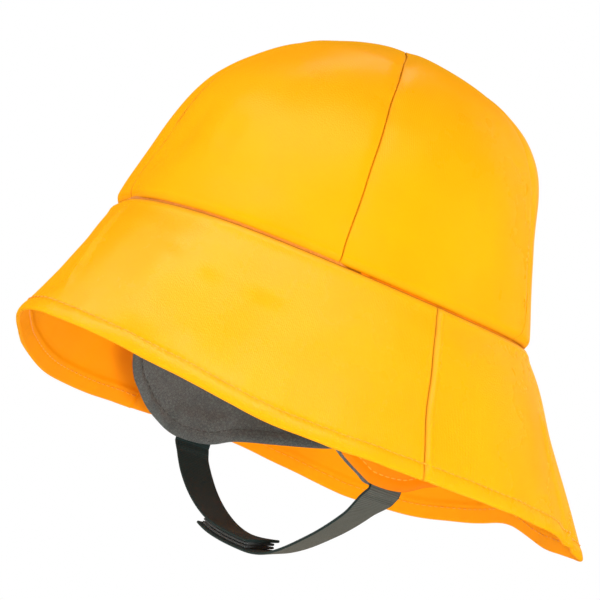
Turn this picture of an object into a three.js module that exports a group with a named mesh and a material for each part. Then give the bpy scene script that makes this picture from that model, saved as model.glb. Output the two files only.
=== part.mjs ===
// A child's sou'wester rain hat: six crown gores, a sloping brim in two pieces, two lined ear flaps
// and a webbing chin strap with a hook-and-loop fastening.
// Millimetres, +Z up. The origin is the middle of the head opening, level with the front of the
// crown seam. The hat faces -Y and the wearer's left is +X. Angles go round from the front (0),
// over the left ear (90), to the back (180).
import * as THREE from 'three';

// Head opening and crown, sizes over the outer face of the cloth
const HEAD_LENGTH = 179.4;
const HEAD_WIDTH = 149.4;
const CROWN_HEIGHT = 92.8;
const SEAM_DIP = 4.1;
const CROWN_TAPER = 0.25;
const CROWN_SHOULDER = 5.2;
const SEAM_ROLL = 0.8;
const SEAM_ROLL_HEIGHT = 4;
const SEAM_ROLL_FADE = 16;
const GORE_VALLEY = 0.9;
const TIP_RADIUS = 0.9;

// Cloth thicknesses and the clearance between neighbouring pieces
const CLOTH = 1.2;
const FLAP_CLOTH = 1;
const LINING_CLOTH = 1.2;
const GAP = 0.3;

// Brim: how far its edge stands out from the crown seam and hangs below the origin at the back
const BRIM_REACH = 35;
const BRIM_DROP = 66;
const BRIM_SEAM_ANGLE = 89;
const HEM_WIDTH = 8;
const HEM_STEP = 1;

// Ear flaps
const FLAP_DROP = 75;
const FLAP_LEAN = 5;
const FLAP_TUCK = 2;
const STRAP_ANGLE = 96.7;
const POCKET_MARGIN = 2;
const POCKET_SLOPE = 6;

// Chin strap
const STRAP_WIDTH = 16;
const STRAP_THICKNESS = 1.2;
const STRAP_INSERT = 7;
const STRAP_EXIT = 1;
const STRAP_BEND = 2;
const STRAP_TILT = { left: 21, right: 5 };
const LOOP_DEPTH = 31.6;
const LOOP_ROUNDNESS = { left: 2.05, right: 2.75 };
const LOOP_BLEND = 20;
const LEFT_STRAP_PAST_MIDDLE = 32;
const RIGHT_STRAP_PAST_MIDDLE = 4;
const PATCH_THICKNESS = 1;
const PATCH_LENGTH = 32;
const PATCH_MARGIN = 1;

// The crown's gores in turn, each from its own seam to the next one's. A seam's foot can bend aside
// just above the brim, by so many degrees.
const CROWN_GORES = [
  { name: 'crown_panel_front_left', seam: -15, foot: 0 },
  { name: 'crown_panel_side_left', seam: 61, foot: 0 },
  { name: 'crown_panel_back_left', seam: 132, foot: -10.5 },
  { name: 'crown_panel_back_right', seam: 180, foot: 0 },
  { name: 'crown_panel_side_right', seam: 233, foot: 0 },
  { name: 'crown_panel_front_right', seam: 293, foot: 0 },
];
const SEAM_FOOT_WAY = 0.05;

// Where the head opening stands out of a true oval or in from it, mirrored on the right, as shares
// of HEAD_WIDTH; the crown comes back to its oval over this way up
const OVAL_SWELLS = [
  { angle: 32, spread: 14, out: 0.0147 },
  { angle: 146, spread: 20, out: -0.012 },
];
const OVAL_SWELL_WAY = 0.3;

// Where the crown seam sags under the front right gore
const SEAM_SAG = { angle: -24, spread: 9, depth: 1.5 };

// How much fuller the crown is behind than in front, as a share of the ring's own size, by the way
// up the gore (0 at the seam, 1 at the top)
const CROWN_FULLNESS = [
  { way: 0, behind: 0 },
  { way: 0.25, behind: -0.012 },
  { way: 0.42, behind: 0.006 },
  { way: 0.55, behind: 0.055 },
  { way: 0.63, behind: 0.087 },
  { way: 0.71, behind: 0.121 },
  { way: 0.8, behind: 0.19 },
  { way: 1, behind: 0.24 },
];

// Soft dents in the crown: middle (angle, way up), spread in degrees and in way, depth as a share
// of HEAD_WIDTH
const CROWN_DENTS = [
  { angle: 4, way: 0.6, spread: 20, tall: 0.16, depth: 0.012 },
  { angle: -2, way: 0.22, spread: 16, tall: 0.12, depth: 0.009 },
  { angle: 76, way: 0.72, spread: 14, tall: 0.16, depth: 0.007 },
  { angle: 150, way: 0.3, spread: 18, tall: 0.14, depth: 0.008 },
];

// The brim's edge by angle, mirrored on the right: reach and drop as shares of BRIM_REACH and
// BRIM_DROP
const BRIM_EDGE = [
  { angle: 0, reach: 0.92, drop: 0.83 },
  { angle: 30, reach: 0.54, drop: 0.93 },
  { angle: 60, reach: 0.63, drop: 1.047 },
  { angle: 90, reach: 0.787, drop: 1.037 },
  { angle: 120, reach: 1.13, drop: 1.033 },
  { angle: 150, reach: 1.14, drop: 1.09 },
  { angle: 180, reach: 1, drop: 0.992 },
];

// Folds in the brim: middle angle, spread in degrees, how far the cloth stands out and hangs down
// at the edge and at half height, as shares of BRIM_REACH
const BRIM_FOLDS = [
  { angle: 149, spread: 9, edge_out: 0.206, half_out: 0.07, edge_down: 0 },
  { angle: 166, spread: 6, edge_out: 0.02, half_out: 0, edge_down: 0.04 },
  { angle: 20, spread: 7, edge_out: 0.03, half_out: 0.05, edge_down: 0 },
  { angle: 176, spread: 8, edge_out: -0.06, half_out: -0.04, edge_down: -0.05 },
  { angle: 250, spread: 16, edge_out: 0, half_out: 0, edge_down: -0.08 },
];

// Lower edge of an ear flap by angle: drop below the origin as a share of FLAP_DROP
const FLAP_EDGE = [
  { angle: 66.5, drop: 0.6 },
  { angle: 67.4, drop: 0.7 },
  { angle: 70, drop: 0.785 },
  { angle: 73.6, drop: 0.843 },
  { angle: 78.5, drop: 0.912 },
  { angle: 84.9, drop: 0.968 },
  { angle: 90.3, drop: 1 },
  { angle: 101.5, drop: 0.98 },
  { angle: 109.7, drop: 0.913 },
  { angle: 123, drop: 0.847 },
  { angle: 137, drop: 0.78 },
  { angle: 150, drop: 0.69 },
];

// Steps along and across each kind of piece
const GORE_STEPS = { across: 12, up: 12 };
const BRIM_STEPS = { across: 36, down: 6 };
const FLAP_STEP_ANGLE = 7;
const POCKET_STEP_ANGLE = 1.8;
const FLAP_ROWS = [0, 0.22, 0.44, 0.62, 0.74, 0.81, 0.87, 0.91, 0.96, 1];
const STRAP_STEPS = { across: 4, along: 30 };
const PATCH_STEPS = { across: 2, along: 10 };
const LOOP_SAMPLES = 400;

const HALF_LENGTH = HEAD_LENGTH / 2;
const HALF_WIDTH = HEAD_WIDTH / 2;
const LEFT = 1;
const RIGHT = -1;
const FULL_TURN = 360;

// Small steps for slopes: round in degrees, and as a share of the way along a face
const STEP_ROUND = 0.5;
const STEP_WAY = 0.005;

const radians = THREE.MathUtils.degToRad;
const degrees = THREE.MathUtils.radToDeg;
const lerp = THREE.MathUtils.lerp;
const smooth = THREE.MathUtils.smoothstep;

// Shortest turn between two angles, in degrees
function turnBetween(a, b) {
  return THREE.MathUtils.euclideanModulo(a - b + FULL_TURN / 2, FULL_TURN) - FULL_TURN / 2;
}

// A rounded bump: 1 in the middle, fading to nothing over a few spreads
function bump(distance, spread) {
  return Math.exp(-((distance / spread) ** 2));
}

// Smooth curve through one column of a table, read along its key column
function readTable(rows, key, column, at) {
  const last = rows.length - 1;
  const place = THREE.MathUtils.clamp(at, rows[0][key], rows[last][key]);
  let i = 0;
  while (i < last - 1 && place > rows[i + 1][key]) {
    i += 1;
  }
  const slope = (j) => {
    const before = rows[Math.max(j - 1, 0)];
    const after = rows[Math.min(j + 1, last)];
    return (after[column] - before[column]) / (after[key] - before[key]);
  };
  const span = rows[i + 1][key] - rows[i][key];
  const t = (place - rows[i][key]) / span;
  const rise = t * t * (3 - 2 * t);
  const startSlope = t * (1 - t) * (1 - t) * span * slope(i);
  const endSlope = t * t * (1 - t) * span * slope(i + 1);
  return lerp(rows[i][column], rows[i + 1][column], rise) + startSlope - endSlope;
}

// The brim table read both ways round, with level slopes at the front and the back
function readBrim(column, angle) {
  const mirrored = BRIM_EDGE.slice(1, 2).map((row) => ({ ...row, angle: -row.angle }));
  const beyond = BRIM_EDGE.slice(-2, -1).map((row) => ({ ...row, angle: FULL_TURN - row.angle }));
  const rows = [...mirrored, ...BRIM_EDGE, ...beyond];
  return readTable(rows, 'angle', column, Math.abs(turnBetween(angle, 0)));
}

// Height of the crown seam: it dips over each ear, and sags a little at one place
function seamHeight(angle) {
  const sag = SEAM_SAG.depth * bump(turnBetween(angle, SEAM_SAG.angle), SEAM_SAG.spread);
  return -SEAM_DIP * Math.sin(radians(angle)) ** 2 - sag;
}

// Level direction straight out of the head oval
function outward(angle) {
  const a = radians(angle);
  return new THREE.Vector3(Math.sin(a) / HALF_WIDTH, -Math.cos(a) / HALF_LENGTH, 0).normalize();
}

// Point of the head oval, larger or smaller by share. Its swells fade with their own share.
function ovalPoint(angle, share, height, swellShare) {
  const a = radians(angle);
  const x = HALF_WIDTH * share * Math.sin(a);
  const point = new THREE.Vector3(x, -HALF_LENGTH * share * Math.cos(a), height);
  for (const swell of OVAL_SWELLS) {
    const near = bump(Math.abs(turnBetween(angle, 0)) - swell.angle, swell.spread);
    point.addScaledVector(outward(angle), HEAD_WIDTH * swell.out * near * swellShare);
  }
  return point;
}

// Outer face of the crown without the valleys at its seams: angle round, way up from the crown seam
// (0) to the top (1)
function crownBody(angle, way) {
  const rise = Math.sin((Math.PI / 2) * way);
  const roundness = Math.sqrt(Math.max(1 - Math.abs(rise) ** CROWN_SHOULDER, 0));
  const fullness = 1 - readTable(CROWN_FULLNESS, 'way', 'behind', way) * Math.cos(radians(angle));
  const share = (1 - CROWN_TAPER * rise) * roundness * fullness;
  const height = lerp(seamHeight(angle), CROWN_HEIGHT, rise);
  const point = ovalPoint(angle, share, height, bump(way, OVAL_SWELL_WAY));
  const aboveSeam = CROWN_HEIGHT * rise;
  const roll = smooth(aboveSeam, 0, SEAM_ROLL_HEIGHT) * bump(aboveSeam, SEAM_ROLL_FADE);
  point.addScaledVector(outward(angle), SEAM_ROLL * roll);
  for (const dent of CROWN_DENTS) {
    const depth = bump(turnBetween(angle, dent.angle), dent.spread) * bump(way - dent.way, dent.tall);
    point.addScaledVector(outward(angle), -HEAD_WIDTH * dent.depth * depth * roundness);
  }
  return point;
}

// Outer face of the brim: angle round, way down from the crown seam (0) to the folded edge (1)
function brimBody(angle, way) {
  const top = ovalPoint(angle, 1, seamHeight(angle) - GAP, 1);
  let reach = BRIM_REACH * readBrim('reach', angle) * way;
  let height = lerp(top.z, -BRIM_DROP * readBrim('drop', angle), way);
  const middle = 4 * way * (1 - way);
  for (const fold of BRIM_FOLDS) {
    const share = bump(turnBetween(angle, fold.angle), fold.spread);
    reach += BRIM_REACH * share * (fold.edge_out * way * way + fold.half_out * middle);
    height -= BRIM_REACH * share * fold.edge_down * way * way;
  }
  const point = top.addScaledVector(outward(angle), reach);
  point.z = height;
  return point;
}

// Outer face of an ear flap: tucked against the crown, it leaves the throat of the hat and leans in
// towards the cheek
function flapBody(angle, height) {
  const taper = (CROWN_TAPER * HALF_LENGTH / CROWN_HEIGHT) * Math.max(height - seamHeight(angle), 0);
  const lean = FLAP_LEAN * Math.max(-height, 0) / FLAP_DROP;
  const swellShare = bump(Math.max(height, 0) / CROWN_HEIGHT, OVAL_SWELL_WAY);
  const point = ovalPoint(angle, 1, height, swellShare);
  return point.addScaledVector(outward(angle), -CLOTH - GAP - taper - lean);
}

// Direction out of a face, from its slopes round and along; it is level beside the crown seam, so
// that the crown and the brim meet edge to edge
function faceNormal(face, angle, way, sense) {
  const round = face(angle + STEP_ROUND, way).sub(face(angle - STEP_ROUND, way));
  const along = face(angle, way + STEP_WAY).sub(face(angle, way - STEP_WAY));
  const normal = round.cross(along).multiplyScalar(sense).normalize();
  const fromSeam = Math.abs(face(angle, way).z - seamHeight(angle));
  normal.z *= smooth(fromSeam, GAP, SEAM_ROLL_HEIGHT);
  return normal.normalize();
}

// Angle at a share of the way across a piece between two seams, half the gap short of each
function angleBetweenSeams(face, start, end, share, way) {
  const perDegree = face(start + 1, way).distanceTo(face(start, way));
  const pullBack = GAP / 2 / perDegree;
  return lerp(start + pullBack, end - pullBack, share);
}

// Closed solid of a cloth sheet: rows of points on the outer face and as many on the inner one
function sheetSolid(outer, inner) {
  const rows = outer.length;
  const columns = outer[0].length;
  const positions = [];
  for (const grid of [outer, inner]) {
    for (const row of grid) {
      for (const p of row) {
        positions.push(p.x, p.y, p.z);
      }
    }
  }
  const outerAt = (i, j) => i * columns + j;
  const innerAt = (i, j) => rows * columns + i * columns + j;
  const index = [];
  const quad = (a, b, c, d) => index.push(a, b, c, a, c, d);
  const end = columns - 1;
  for (let i = 0; i < rows - 1; i += 1) {
    for (let j = 0; j < columns - 1; j += 1) {
      quad(outerAt(i, j), outerAt(i, j + 1), outerAt(i + 1, j + 1), outerAt(i + 1, j));
      quad(innerAt(i, j), innerAt(i + 1, j), innerAt(i + 1, j + 1), innerAt(i, j + 1));
    }
  }
  for (let j = 0; j < columns - 1; j += 1) {
    quad(outerAt(0, j), innerAt(0, j), innerAt(0, j + 1), outerAt(0, j + 1));
    quad(outerAt(rows - 1, j), outerAt(rows - 1, j + 1), innerAt(rows - 1, j + 1), innerAt(rows - 1, j));
  }
  for (let i = 0; i < rows - 1; i += 1) {
    quad(outerAt(i, 0), outerAt(i + 1, 0), innerAt(i + 1, 0), innerAt(i, 0));
    quad(outerAt(i, end), innerAt(i, end), innerAt(i + 1, end), outerAt(i + 1, end));
  }
  const geometry = new THREE.BufferGeometry();
  geometry.setAttribute('position', new THREE.Float32BufferAttribute(positions, 3));
  geometry.setIndex(signedVolume(positions, index) < 0 ? index.reverse() : index);
  geometry.computeVertexNormals();
  return geometry;
}

function signedVolume(positions, index) {
  let volume = 0;
  const corner = (k) => new THREE.Vector3().fromArray(positions, 3 * index[k]);
  for (let k = 0; k < index.length; k += 3) {
    volume += corner(k).dot(corner(k + 1).cross(corner(k + 2))) / 6;
  }
  return volume;
}

const coatedCloth = { color: 0xffc107, roughness: 0.35, metalness: 0 };
const fleece = { color: 0x4a4d4d, roughness: 0.95, metalness: 0 };
const webbing = { color: 0x4c4f4e, roughness: 0.8, metalness: 0 };
const fastening = { color: 0x37393a, roughness: 0.9, metalness: 0 };

const hat = new THREE.Group();

function addPiece(name, geometry, finish) {
  const mesh = new THREE.Mesh(geometry, new THREE.MeshStandardMaterial(finish));
  mesh.name = name;
  hat.add(mesh);
}

// Crown gores

// Way up at which the gores stop short of each other around the very top
function lastWay() {
  const leftSide = 90;
  let way = 1;
  while (crownBody(leftSide, way).x < TIP_RADIUS) {
    way -= STEP_WAY / 10;
  }
  return way;
}

const topWay = lastWay();

// Angle of a seam at a way up the crown
function seamAngle(gore, way) {
  return gore.seam + gore.foot * Math.exp(-way / SEAM_FOOT_WAY);
}

function crownGore(gore, next, turn) {
  const outer = [];
  const inner = [];
  for (let i = 0; i <= GORE_STEPS.up; i += 1) {
    const way = topWay * (i / GORE_STEPS.up);
    const startAngle = seamAngle(gore, way);
    const endAngle = seamAngle(next, way) + turn;
    const outerRow = [];
    const innerRow = [];
    for (let j = 0; j <= GORE_STEPS.across; j += 1) {
      const share = j / GORE_STEPS.across;
      const angle = angleBetweenSeams(crownBody, startAngle, endAngle, share, way);
      const normal = faceNormal(crownBody, angle, Math.min(way, topWay - 2 * STEP_WAY), 1);
      const valley = (1 - Math.sqrt(Math.sin(Math.PI * share))) * Math.sin(Math.PI * way);
      const point = crownBody(angle, way).addScaledVector(normal, -GORE_VALLEY * valley);
      outerRow.push(point);
      innerRow.push(point.clone().addScaledVector(normal, -CLOTH));
    }
    outer.push(outerRow);
    inner.push(innerRow);
  }
  return sheetSolid(outer, inner);
}

CROWN_GORES.forEach((gore, k) => {
  const isLast = k === CROWN_GORES.length - 1;
  const next = CROWN_GORES[isLast ? 0 : k + 1];
  addPiece(gore.name, crownGore(gore, next, isLast ? FULL_TURN : 0), coatedCloth);
});

// Brim, with the cloth turned in along its edge

// Ways down to the brim's rows at an angle, with the layers of cloth there: even rows of single
// cloth, then the turned-in hem
function brimRows(angle) {
  const slant = brimBody(angle, 1).distanceTo(brimBody(angle, 0));
  const singleEnd = 1 - (HEM_WIDTH + HEM_STEP) / slant;
  const rows = [];
  for (let i = 0; i <= BRIM_STEPS.down; i += 1) {
    rows.push({ way: singleEnd * (i / BRIM_STEPS.down), layers: 1 });
  }
  rows.push({ way: 1 - HEM_WIDTH / slant, layers: 2 });
  rows.push({ way: 1, layers: 2 });
  return rows;
}

function brimPiece(startAngle, endAngle) {
  const outer = [];
  const inner = [];
  const rowCount = brimRows(startAngle).length;
  for (let i = 0; i < rowCount; i += 1) {
    const outerRow = [];
    const innerRow = [];
    for (let j = 0; j <= BRIM_STEPS.across; j += 1) {
      const share = j / BRIM_STEPS.across;
      const { way, layers } = brimRows(lerp(startAngle, endAngle, share))[i];
      const angle = angleBetweenSeams(brimBody, startAngle, endAngle, share, way);
      const point = brimBody(angle, way);
      outerRow.push(point);
      innerRow.push(point.clone().addScaledVector(faceNormal(brimBody, angle, way, -1), -CLOTH * layers));
    }
    outer.push(outerRow);
    inner.push(innerRow);
  }
  return sheetSolid(outer, inner);
}

addPiece('brim_front', brimPiece(-BRIM_SEAM_ANGLE, BRIM_SEAM_ANGLE), coatedCloth);
addPiece('brim_back', brimPiece(BRIM_SEAM_ANGLE, FULL_TURN - BRIM_SEAM_ANGLE), coatedCloth);

// Ear flaps: an outer cloth and a lining, parted just enough above the strap to hold its end

const strapMiddle = flapBody(STRAP_ANGLE, -FLAP_DROP);

// How open the pocket for the strap's end is at a place on the flap
function pocket(point, aboveEdge) {
  const side = Math.abs(point.y - strapMiddle.y) - STRAP_WIDTH / 2 - POCKET_MARGIN;
  const top = aboveEdge - STRAP_INSERT - POCKET_MARGIN;
  return (1 - smooth(side, 0, POCKET_SLOPE)) * (1 - smooth(top, 0, POCKET_SLOPE));
}

// Angles of the flap's columns: each step of the edge table in equal parts, finer over the pocket
function flapAngles(isLining) {
  const pocketHalf = degrees((STRAP_WIDTH / 2 + POCKET_MARGIN + POCKET_SLOPE) / HALF_LENGTH);
  const angles = [FLAP_EDGE[0].angle];
  for (const row of FLAP_EDGE.slice(1)) {
    const from = angles[angles.length - 1];
    const nearPocket = row.angle > STRAP_ANGLE - pocketHalf && from < STRAP_ANGLE + pocketHalf;
    const step = isLining && nearPocket ? POCKET_STEP_ANGLE : FLAP_STEP_ANGLE;
    const parts = Math.ceil((row.angle - from) / step);
    for (let k = 1; k <= parts; k += 1) {
      angles.push(lerp(from, row.angle, k / parts));
    }
  }
  return angles;
}

function flapSheet(side, isLining) {
  const thickness = isLining ? LINING_CLOTH : FLAP_CLOTH;
  const angles = flapAngles(isLining);
  const outer = [];
  const inner = [];
  for (const down of FLAP_ROWS) {
    const outerRow = [];
    const innerRow = [];
    for (const angle of angles) {
      const top = seamHeight(angle) + FLAP_TUCK;
      const bottom = -FLAP_DROP * readTable(FLAP_EDGE, 'angle', 'drop', angle);
      const height = lerp(top, bottom, down);
      const point = flapBody(angle, height);
      const normal = outward(angle);
      const open = pocket(point, height - bottom);
      const behind = isLining ? FLAP_CLOTH + GAP + (STRAP_THICKNESS + GAP) * open : 0;
      point.addScaledVector(normal, -behind);
      const back = point.clone().addScaledVector(normal, -thickness);
      point.x *= side;
      back.x *= side;
      outerRow.push(point);
      innerRow.push(back);
    }
    outer.push(outerRow);
    inner.push(innerRow);
  }
  return sheetSolid(outer, inner);
}

addPiece('ear_flap_left', flapSheet(LEFT, false), coatedCloth);
addPiece('ear_flap_right', flapSheet(RIGHT, false), coatedCloth);
addPiece('ear_flap_lining_left', flapSheet(LEFT, true), fleece);
addPiece('ear_flap_lining_right', flapSheet(RIGHT, true), fleece);

// Chin strap: a flat ribbon from inside one flap, down round the chin and up into the other

const flapInside = FLAP_CLOTH + GAP + STRAP_THICKNESS / 2;
const loopTop = -FLAP_DROP - STRAP_EXIT;
const loopHalfSpan = flapBody(STRAP_ANGLE, loopTop).x - flapInside;
const stackStep = STRAP_THICKNESS + 2 * PATCH_THICKNESS + 3 * GAP;

// Middle line of the loop below the flaps, from the left flap (0) to the right one (1)
function loopPoint(share) {
  const side = 1 - 2 * share;
  const roundness = side > 0 ? LOOP_ROUNDNESS.left : LOOP_ROUNDNESS.right;
  const z = loopTop - LOOP_DEPTH * (1 - Math.abs(side) ** roundness);
  return new THREE.Vector3(loopHalfSpan * side, strapMiddle.y, z);
}

// Even steps along the loop, each with its share and its distance from the left flap
const loopSteps = [];
for (let k = 0; k <= LOOP_SAMPLES; k += 1) {
  const share = k / LOOP_SAMPLES;
  const step = k > 0 ? loopPoint(share).distanceTo(loopPoint((k - 1) / LOOP_SAMPLES)) : 0;
  const before = k > 0 ? loopSteps[k - 1].walked : 0;
  loopSteps.push({ share, walked: before + step });
}
const loopLength = loopSteps[LOOP_SAMPLES].walked;

// Point of the strap's middle line at a distance from the left end of the loop; beyond the loop's
// ends it runs straight up inside the flap
function strapPoint(distance) {
  const above = Math.max(-distance, distance - loopLength);
  if (above <= 0) {
    return loopPoint(readTable(loopSteps, 'walked', 'share', distance));
  }
  const point = flapBody(STRAP_ANGLE, loopTop + above);
  point.x = (distance < 0 ? LEFT : RIGHT) * (point.x - flapInside);
  return point;
}

// Direction towards the inside of the loop
function strapInward(distance) {
  const along = strapPoint(distance + STRAP_BEND).sub(strapPoint(distance - STRAP_BEND));
  return new THREE.Vector3(along.z, 0, -along.x).normalize();
}

// Even steps between two distances, with a step exactly at each end of the loop
function ribbonStops(start, end, count) {
  const ends = [0, loopLength].filter((stop) => stop > start && stop < end);
  const step = (end - start) / count;
  const even = Array.from({ length: count + 1 }, (_, i) => start + step * i);
  const kept = even.filter((stop, i) => {
    const clear = ends.every((fixed) => Math.abs(stop - fixed) > step / 3);
    return clear || i === 0 || i === count;
  });
  return [...kept, ...ends].sort((a, b) => a - b);
}

// Flat ribbon between two distances along the loop, lifted towards the chin by lift(distance). Under
// the chin its back edge is tilted up, more on the left than on the right.
function ribbon(start, end, width, thickness, steps, lift) {
  const outer = [];
  const inner = [];
  for (const distance of ribbonStops(start, end, steps.along)) {
    const place = strapPoint(distance);
    const inward = strapInward(distance);
    const belowFlap = Math.min(distance, loopLength - distance);
    const rightward = smooth(distance - loopLength / 2, -LOOP_BLEND, LOOP_BLEND);
    const fullTilt = lerp(STRAP_TILT.left, STRAP_TILT.right, rightward);
    const tilt = radians(fullTilt) * inward.z * smooth(belowFlap, 0, STRAP_WIDTH);
    const back = new THREE.Vector3(0, Math.cos(tilt), 0).addScaledVector(inward, Math.sin(tilt));
    const facing = inward.clone().multiplyScalar(Math.cos(tilt));
    facing.y -= Math.sin(tilt);
    const follow = 1 - smooth(belowFlap, 0, POCKET_SLOPE);
    const outerRow = [];
    const innerRow = [];
    for (let j = 0; j <= steps.across; j += 1) {
      const across = width * (j / steps.across - 0.5);
      const angle = STRAP_ANGLE + degrees(across / HALF_LENGTH);
      const height = Math.max(place.z, loopTop);
      const sag = flapBody(STRAP_ANGLE, height).x - flapBody(angle, height).x;
      const middle = place.clone().addScaledVector(back, across);
      middle.addScaledVector(facing, lift(distance) + sag * follow);
      outerRow.push(middle.clone().addScaledVector(facing, -thickness / 2));
      innerRow.push(middle.clone().addScaledVector(facing, thickness / 2));
    }
    outer.push(outerRow);
    inner.push(innerRow);
  }
  return sheetSolid(outer, inner);
}

const leftEnd = loopLength / 2 + LEFT_STRAP_PAST_MIDDLE;
const rightEnd = loopLength / 2 - RIGHT_STRAP_PAST_MIDDLE;
const overlapMiddle = (leftEnd + rightEnd) / 2;
const liftLeft = (distance) => (-stackStep / 2) * smooth(distance, rightEnd / 2, rightEnd);
const liftRight = (distance) => (stackStep / 2) * (1 - smooth(distance, leftEnd, loopLength));

addPiece(
  'chin_strap_left',
  ribbon(-STRAP_INSERT, leftEnd, STRAP_WIDTH, STRAP_THICKNESS, STRAP_STEPS, liftLeft),
  webbing,
);
addPiece(
  'chin_strap_right',
  ribbon(rightEnd, loopLength + STRAP_INSERT, STRAP_WIDTH, STRAP_THICKNESS, STRAP_STEPS, liftRight),
  webbing,
);

// Hook and loop patches between the two ends of the strap
const patchWidth = STRAP_WIDTH - 2 * PATCH_MARGIN;
const patchLift = (PATCH_THICKNESS + GAP) / 2;
const patchStart = overlapMiddle - PATCH_LENGTH / 2;
const patchEnd = overlapMiddle + PATCH_LENGTH / 2;
for (const [name, lift] of [['hook_patch', -patchLift], ['loop_patch', patchLift]]) {
  const patch = ribbon(patchStart, patchEnd, patchWidth, PATCH_THICKNESS, PATCH_STEPS, () => lift);
  addPiece(name, patch, fastening);
}

export default hat;
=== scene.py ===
import math

import bmesh
import bpy
import numpy as np
from mathutils import Matrix, Vector, noise


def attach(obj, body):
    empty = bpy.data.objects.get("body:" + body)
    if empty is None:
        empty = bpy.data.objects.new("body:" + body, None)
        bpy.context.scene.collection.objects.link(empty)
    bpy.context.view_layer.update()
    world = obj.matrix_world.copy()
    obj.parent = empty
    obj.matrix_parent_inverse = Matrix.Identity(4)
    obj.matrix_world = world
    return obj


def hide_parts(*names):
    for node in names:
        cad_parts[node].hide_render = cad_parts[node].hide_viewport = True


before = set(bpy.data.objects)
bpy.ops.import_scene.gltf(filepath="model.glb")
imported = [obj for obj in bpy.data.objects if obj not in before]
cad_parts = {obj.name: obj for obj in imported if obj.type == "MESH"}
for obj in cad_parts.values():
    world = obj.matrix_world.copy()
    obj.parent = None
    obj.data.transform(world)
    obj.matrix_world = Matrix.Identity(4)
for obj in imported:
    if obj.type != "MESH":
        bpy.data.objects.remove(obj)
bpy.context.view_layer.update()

# Camera: where the photograph was taken from, a little below the brim on the wearer's left, with
# the picture turned so that the hat tips forward. A long lens keeps the hat's lines near parallel.
turn = math.radians(54.84)
rise = math.radians(-6.08)
roll = math.radians(19.0)
distance = 1.404
pan_right, pan_up = 0.0110, 0.0091

towards = Vector((math.sin(turn) * math.cos(rise), -math.cos(turn) * math.cos(rise), math.sin(rise)))
level = Vector((math.cos(turn), math.sin(turn), 0))
upright = towards.cross(level)
right = level * math.cos(roll) + upright * math.sin(roll)
above = upright * math.cos(roll) - level * math.sin(roll)
camera_data = bpy.data.cameras.new("camera")
camera_data.lens = 216
camera_data.sensor_width = 36
camera_data.clip_start = 0.05
camera_data.clip_end = 50
camera = bpy.data.objects.new("camera", camera_data)
stands_at = towards * distance - right * pan_right - above * pan_up
camera.matrix_world = Matrix.Translation(stands_at) @ Matrix((right, above, towards)).transposed().to_4x4()
bpy.context.scene.collection.objects.link(camera)
bpy.context.scene.camera = camera
bpy.context.scene.view_settings.view_transform = "Standard"

# Studio: a plain pale floor below the hat, white all round it, and soft lamps. Some of them only
# light the cloth, and some, seen only in its shine, are the boxes that leave soft bright patches.
floor_height = -0.30
floor_width = 8
daylight_strength = 0.42
warm_shine_strength = 0.7


def table(columns, *rows):
    """Rows of values under named columns."""
    return [dict(zip(columns.split(), row)) for row in rows]


lamps = table(
    "name out side up wide tall power shine",
    ("lamp_over_camera", 1.0, -0.35, 1.35, 1.1, 1.0, 8.5, False),
    ("lamp_left", 0.5, -1.5, 0.25, 1.0, 0.9, 15, False),
    ("lamp_right", 0.2, 1.5, 0.45, 1.0, 0.9, 8, False),
    ("lamp_behind", -1.0, 0.9, 0.8, 0.9, 0.9, 11, False),
    ("lamp_low", 0.9, 0.30, -0.24, 0.3, 0.1, 5.5, False),
    ("box_front_left", 0.72, -1.02, 1.2, 1.7, 0.5, 9.5, True),
    ("box_front_right", 1.13, 0.20, 1.2, 1.2, 0.5, 6, True),
    ("box_above", -0.5, -0.28, 1.4, 0.9, 0.25, 2.6, True),
    ("box_behind", -1.25, 0.42, 0.42, 0.3, 0.6, 0.12, True),
)
for lamp in lamps:
    light = bpy.data.lights.new(lamp["name"], "AREA")
    light.shape = "RECTANGLE"
    light.size = lamp["wide"]
    light.size_y = lamp["tall"]
    light.energy = lamp["power"]
    holder = bpy.data.objects.new(lamp["name"], light)
    place = level * lamp["side"] + Vector((towards.x, towards.y, 0)) * lamp["out"] + Vector((0, 0, lamp["up"]))
    holder.matrix_world = Matrix.Translation(place) @ place.to_track_quat("Z", "Y").to_matrix().to_4x4()
    holder.visible_camera = False
    holder.visible_diffuse = not lamp["shine"]
    holder.visible_glossy = lamp["shine"]
    bpy.context.scene.collection.objects.link(holder)


def set_inputs(tree, node, **inputs):
    """Sets a node's inputs by name, or by number as n0, n1 and so on, or links them where the value
    is another node's output."""
    for name, value in inputs.items():
        key = int(name[1:]) if name[0] == "n" and name[1:].isdigit() else name.replace("_", " ")
        if isinstance(value, bpy.types.NodeSocket):
            tree.links.new(value, node.inputs[key])
        else:
            node.inputs[key].default_value = value
    return node


def add_node(tree, kind, **inputs):
    return set_inputs(tree, tree.nodes.new(kind), **inputs)


world = bpy.data.worlds.new("studio")
bpy.context.scene.world = world
world.use_nodes = True
sky = world.node_tree
sky.nodes.clear()
ray = sky.nodes.new("ShaderNodeLightPath")
seen = add_node(sky, "ShaderNodeBackground", Color=(1, 1, 1, 1))
lit = add_node(sky, "ShaderNodeBackground", Color=(1, 1, 1, 1), Strength=daylight_strength)
warm = add_node(sky, "ShaderNodeBackground", Color=(1.0, 0.62, 0.03, 1), Strength=warm_shine_strength)
for kind_of_ray, other in (("Is Glossy Ray", warm), ("Is Camera Ray", seen)):
    lit = add_node(sky, "ShaderNodeMixShader", n0=ray.outputs[kind_of_ray], n1=lit.outputs[0], n2=other.outputs[0])
add_node(sky, "ShaderNodeOutputWorld", Surface=lit.outputs[0])


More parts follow.
